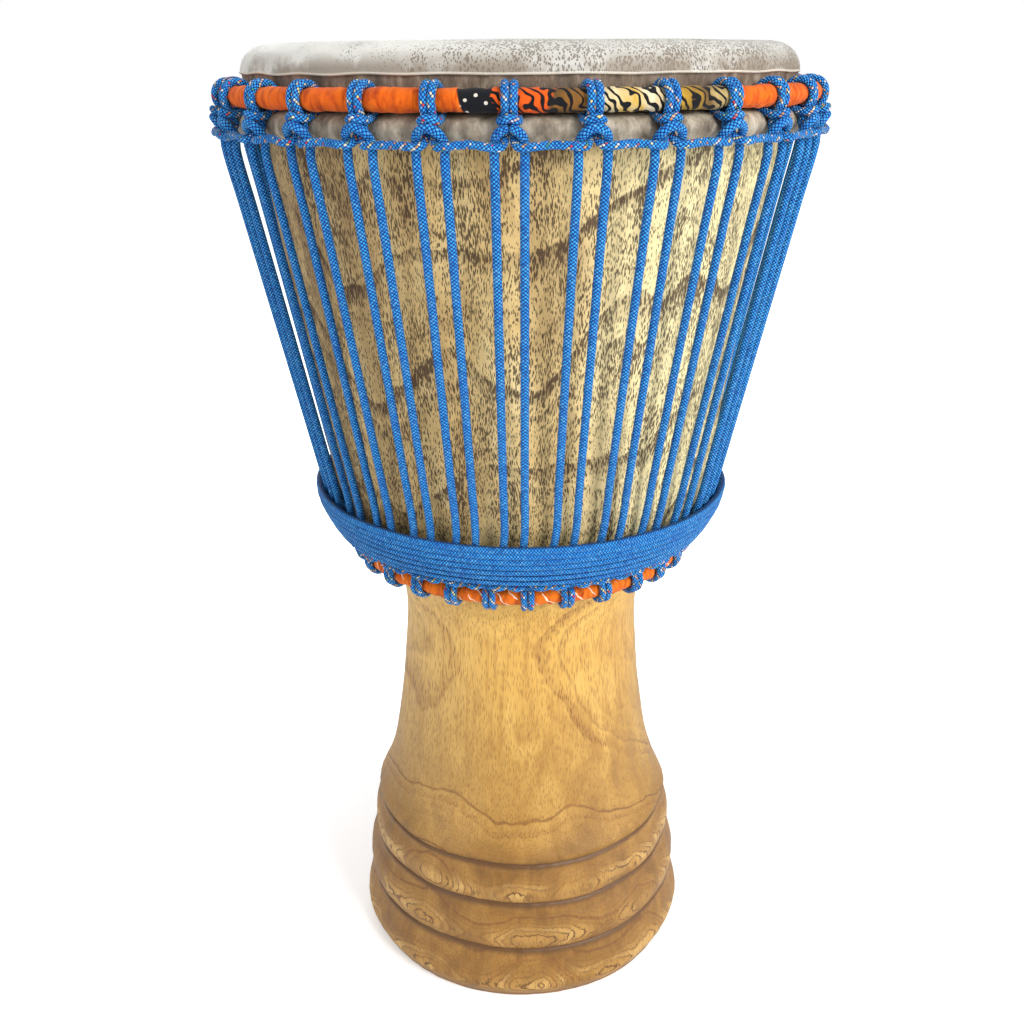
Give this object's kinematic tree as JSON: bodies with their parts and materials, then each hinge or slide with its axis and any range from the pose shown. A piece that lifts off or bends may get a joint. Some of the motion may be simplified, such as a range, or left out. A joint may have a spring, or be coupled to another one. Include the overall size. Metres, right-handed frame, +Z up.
{
  "type": "djembe",
  "caption": "Goblet-shaped wooden hand drum with a skin head held by rope-laced rings, a wound rope belt under the bowl and a flared, tiered foot.",
  "frame": {"origin": "centre of the foot's underside, on the drum's axis", "axes": "+Z up along the drum's axis, -Y towards the front, +X to the right seen from the front"},
  "size_m": [0.3633, 0.3633, 0.62],
  "materials": {
    "shell_wood": "satin, fine open grain",
    "goatskin": "dry scraped rawhide",
    "ring_steel": "plain rod",
    "plain_cloth": "tightly wrapped cotton",
    "printed_cloth": "tightly wrapped printed cotton",
    "bottom_cloth": "tightly wrapped cotton",
    "blue_cord": "braided cord",
    "flecked_cord": "braided cord with coloured tracer yarns"
  },
  "bodies": {
    "shell": {"shell": "shell_wood", "drumhead_skin": "goatskin", "bottom_ring": "ring_steel", "bottom_ring_cloth": "bottom_cloth", "bottom_cradle_rope": "flecked_cord", "belt_rope": "blue_cord", "tuning_rope": "blue_cord"},
    "head": {"skin_collar": "goatskin", "flesh_ring": "ring_steel", "crown_ring": "ring_steel", "crown_cloth_plain": "plain_cloth", "crown_cloth_printed": "printed_cloth", "top_cradle_rope": "flecked_cord"}
  },
  "joints": [
    {"name": "head_tuning", "type": "slide", "parent": "shell", "child": "head", "axis": [0, 0, -1], "range_m": [-0.004, 0.008], "deforming": ["skin_collar", "tuning_rope"]}
  ]
}
